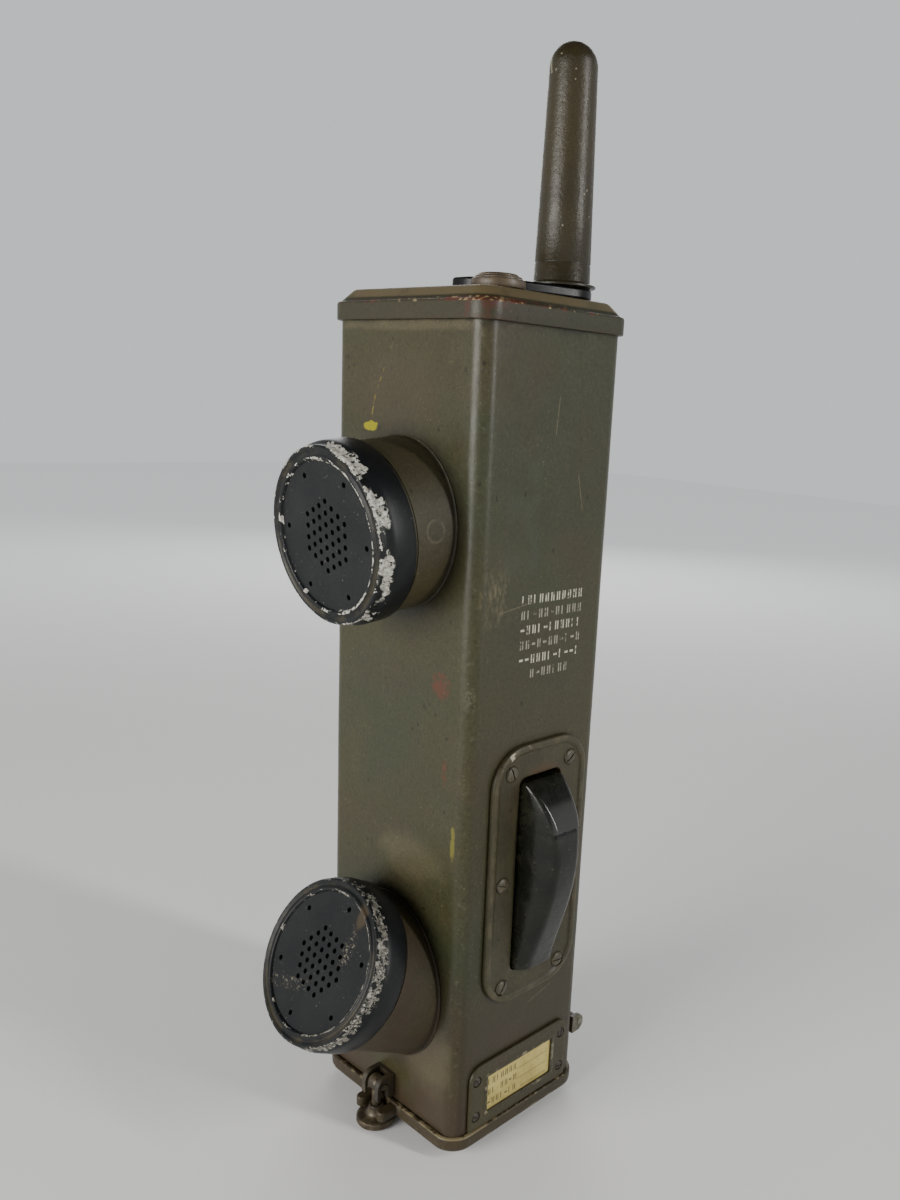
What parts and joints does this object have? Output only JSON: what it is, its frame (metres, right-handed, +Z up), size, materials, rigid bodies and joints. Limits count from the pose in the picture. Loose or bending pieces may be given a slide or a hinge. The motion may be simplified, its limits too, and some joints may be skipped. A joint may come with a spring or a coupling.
{
  "type": "hand-held two-way radio",
  "caption": "Hand-held radio transceiver in a square metal case with ear and mouth cups, press-to-talk lever, telescopic aerial under a screw cap and a hinged, latched bottom cover.",
  "frame": {"origin": "centre of the flat underside of the bottom cover, which the set stands on", "axes": "+Z up along the case towards the aerial, -Y out of the front face with the ear and mouth cups, +X out of the side with the press-to-talk lever"},
  "size_m": [0.0972, 0.1231, 0.401],
  "materials": {
    "olive_drab": "worn matt olive drab paint with chips, rust-brown primer and grime",
    "strap_button": "worn brown paint on metal",
    "black_bakelite": "satin black moulding, worn to bare pale grey along the rim",
    "brown_cap": "semi-gloss olive brown, finely pebbled",
    "rubber": "aged black rubber, smooth and slightly shiny",
    "worn_screws": "slotted screws with paint worn from the heads",
    "latch_metal": "worn brown drab over steel",
    "fittings_steel": "drab paint over steel",
    "chassis_metal": "plain sheet, dull",
    "brass": "dull nickel-worn brass",
    "coil_copper": "varnished copper winding",
    "cream_card": "printed cream card with ruled lines",
    "battery_wrap": "waxed paper wrap",
    "valve_glass": "clear glass with getter flash"
  },
  "bodies": {
    "case": {"case_shell": "olive_drab", "top_cover": "olive_drab", "ear_neck": "olive_drab", "mouth_neck": "olive_drab", "ptt_plate": "olive_drab", "card_frame": "olive_drab", "latch_clevis": "olive_drab", "strap_button": "strap_button", "ear_cap": "black_bakelite", "mouth_cap": "black_bakelite", "ear_capsule": "black_bakelite", "mouth_capsule": "black_bakelite", "crystal_1": "black_bakelite", "crystal_2": "black_bakelite", "tr_switch": "black_bakelite", "cap_strap": "rubber", "ear_gasket": "rubber", "mouth_gasket": "rubber", "ptt_screw_1": "worn_screws", "ptt_screw_2": "worn_screws", "ptt_screw_3": "worn_screws", "ptt_screw_4": "worn_screws", "ptt_screw_5": "worn_screws", "ptt_screw_6": "worn_screws", "card_screw_1": "worn_screws", "card_screw_2": "worn_screws", "card_screw_3": "worn_screws", "card_screw_4": "worn_screws", "hinge_case_leaf": "fittings_steel", "hinge_pin": "fittings_steel", "strap_bar_lower": "fittings_steel", "strap_bar_upper": "fittings_steel", "ptt_bracket": "fittings_steel", "ptt_pin": "fittings_steel", "battery_spring": "fittings_steel", "chassis_frame": "chassis_metal", "if_can": "chassis_metal", "aerial_base": "brass", "aerial_bushing": "brass", "loading_coil": "coil_copper", "data_card": "cream_card", "a_battery": "battery_wrap", "b_battery": "battery_wrap", "valve_1": "valve_glass", "valve_2": "valve_glass", "valve_3": "valve_glass", "valve_4": "valve_glass", "valve_5": "valve_glass"},
    "aerial_lower": {"aerial_lower": "brass"},
    "aerial_middle": {"aerial_middle": "brass"},
    "aerial_rod": {"aerial_rod": "brass"},
    "aerial_cap": {"aerial_cap": "brown_cap"},
    "ptt_lever": {"ptt_lever": "rubber"},
    "tr_plunger": {"tr_plunger": "brass"},
    "bottom_cover": {"bottom_cover": "olive_drab", "bottom_gasket": "rubber", "hinge_cover_leaf": "fittings_steel"},
    "swing_bolt": {"swing_bolt": "latch_metal", "latch_pin": "latch_metal"},
    "thumb_nut": {"thumb_nut": "latch_metal"}
  },
  "joints": [
    {"name": "ptt_press", "type": "hinge", "parent": "case", "child": "ptt_lever", "pos_m": [0.033, 0.0021, 0.076], "axis": [0, -1, 0], "range_deg": [0, 5], "stiffness_Nm_per_rad": 2, "springref_deg": -2.86},
    {"name": "plunger_slide", "type": "slide", "parent": "case", "child": "tr_plunger", "axis": [-1, 0, 0], "range_m": [0, 0.0045]},
    {"name": "cover_hinge", "type": "hinge", "parent": "case", "child": "bottom_cover", "pos_m": [0, 0.0385, 0.012], "axis": [1, 0, 0], "range_deg": [0, 110]},
    {"name": "latch_swing", "type": "hinge", "parent": "bottom_cover", "child": "swing_bolt", "pos_m": [0, -0.0395, 0.0172], "axis": [-1, 0, 0], "range_deg": [0, 100]},
    {"name": "nut_turn", "type": "hinge", "parent": "swing_bolt", "child": "thumb_nut", "pos_m": [0, -0.0395, 0.002], "axis": [0, 0, 1], "continuous": true},
    {"name": "aerial_pull", "type": "slide", "parent": "case", "child": "aerial_lower", "axis": [0, 0, 1], "range_m": [0, 0.245]},
    {"name": "aerial_middle_slide", "type": "slide", "parent": "aerial_lower", "child": "aerial_middle", "axis": [0, 0, 1], "range_m": [0, 0.245]},
    {"name": "aerial_rod_slide", "type": "slide", "parent": "aerial_middle", "child": "aerial_rod", "axis": [0, 0, 1], "range_m": [0, 0.245]},
    {"name": "cap_lift", "type": "slide", "parent": "aerial_rod", "child": "aerial_cap", "axis": [0, 0, 1], "range_m": [0, 0.1]}
  ],
  "couplings": [
    {"joint": "plunger_slide", "follows": "ptt_press", "m_per_rad": 0.049},
    {"joint": "aerial_middle_slide", "follows": "aerial_pull", "ratio": 1},
    {"joint": "aerial_rod_slide", "follows": "aerial_pull", "ratio": 1}
  ]
}
